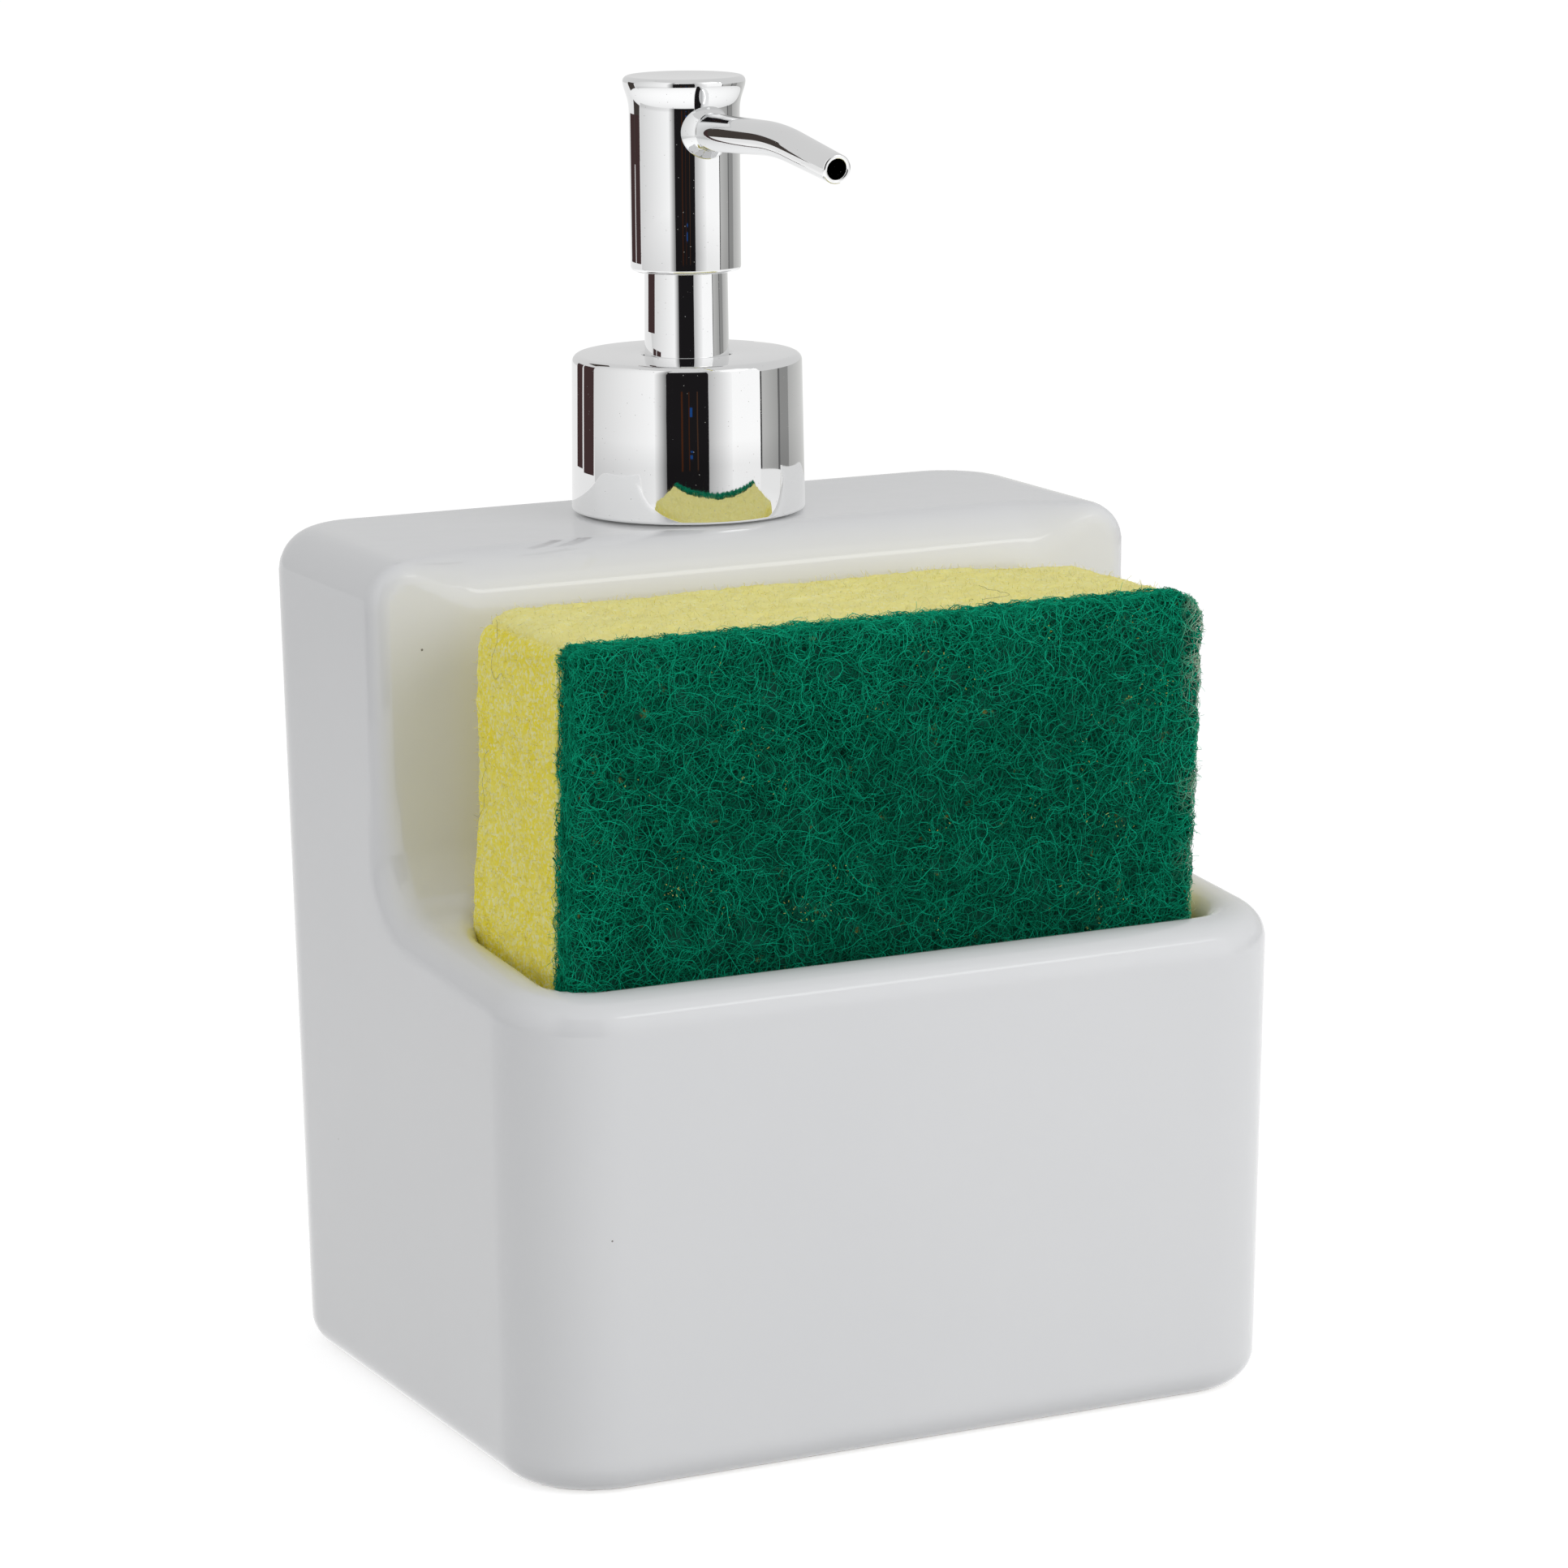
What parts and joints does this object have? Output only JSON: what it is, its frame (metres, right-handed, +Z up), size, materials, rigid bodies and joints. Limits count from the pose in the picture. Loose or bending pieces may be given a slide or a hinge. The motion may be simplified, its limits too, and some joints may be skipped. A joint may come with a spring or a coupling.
{
  "type": "sponge holder with soap dispenser",
  "caption": "Glazed ceramic sink caddy: an open pocket that holds a scouring sponge, and behind it a soap reservoir with a chrome press pump and spout.",
  "frame": {"origin": "under the middle of the caddy's box, on the surface that it stands on", "axes": "+Z up along the pump, +Y towards the back (the dispenser), +X to the right seen from the pocket's side"},
  "size_m": [0.1172, 0.0946, 0.1799],
  "materials": {
    "glazed_ceramic": "white gloss glaze",
    "chrome_plate": "mirror-bright plating",
    "white_plastic": "satin moulded",
    "natural_plastic": "milky natural",
    "spring_steel": "bright drawn",
    "seal_rubber": "matt",
    "sponge_foam": "open-cell yellow foam",
    "scour_fibre": "green non-woven scouring fibre"
  },
  "bodies": {
    "holder": {"ceramic_body": "glazed_ceramic", "neck_insert": "white_plastic"},
    "pump_unit": {"pump_housing": "natural_plastic", "pump_gasket": "seal_rubber", "dip_tube": "natural_plastic", "stem_guide": "white_plastic", "return_spring": "spring_steel"},
    "collar": {"collar_shell": "chrome_plate", "inner_closure": "white_plastic", "guide_sleeve": "chrome_plate"},
    "plunger": {"stem": "natural_plastic", "piston_seal": "seal_rubber"},
    "head": {"pump_head": "chrome_plate", "actuator_core": "white_plastic", "spout": "chrome_plate"},
    "inlet_valve": {"inlet_ball": "spring_steel"},
    "outlet_valve": {"outlet_ball": "spring_steel"},
    "sponge": {"foam_sponge": "sponge_foam", "scour_pad": "scour_fibre"}
  },
  "joints": [
    {"name": "pump_lift", "type": "slide", "parent": "holder", "child": "pump_unit", "axis": [0, 0, 1], "range_m": [0, 0.13]},
    {"name": "collar_turn", "type": "hinge", "parent": "pump_unit", "child": "collar", "pos_m": [0, 0.02607, 0.13], "axis": [0, 0, 1], "range_deg": [0, 540]},
    {"name": "pump_press", "type": "slide", "parent": "pump_unit", "child": "plunger", "axis": [0, 0, -1], "range_m": [0, 0.0105], "stiffness_N_per_m": 500, "springref_m": -0.012, "deforming": ["return_spring"]},
    {"name": "head_turn", "type": "hinge", "parent": "plunger", "child": "head", "pos_m": [0, 0.02607, 0.17], "axis": [0, 0, 1], "continuous": true},
    {"name": "inlet_ball_lift", "type": "slide", "parent": "pump_unit", "child": "inlet_valve", "axis": [0, 0, 1], "range_m": [0, 0.0008]},
    {"name": "outlet_ball_lift", "type": "slide", "parent": "plunger", "child": "outlet_valve", "axis": [0, 0, 1], "range_m": [0, 0.0008]},
    {"name": "sponge_lift", "type": "slide", "parent": "holder", "child": "sponge", "axis": [0, 0, 1], "range_m": [0, 0.035]}
  ]
}
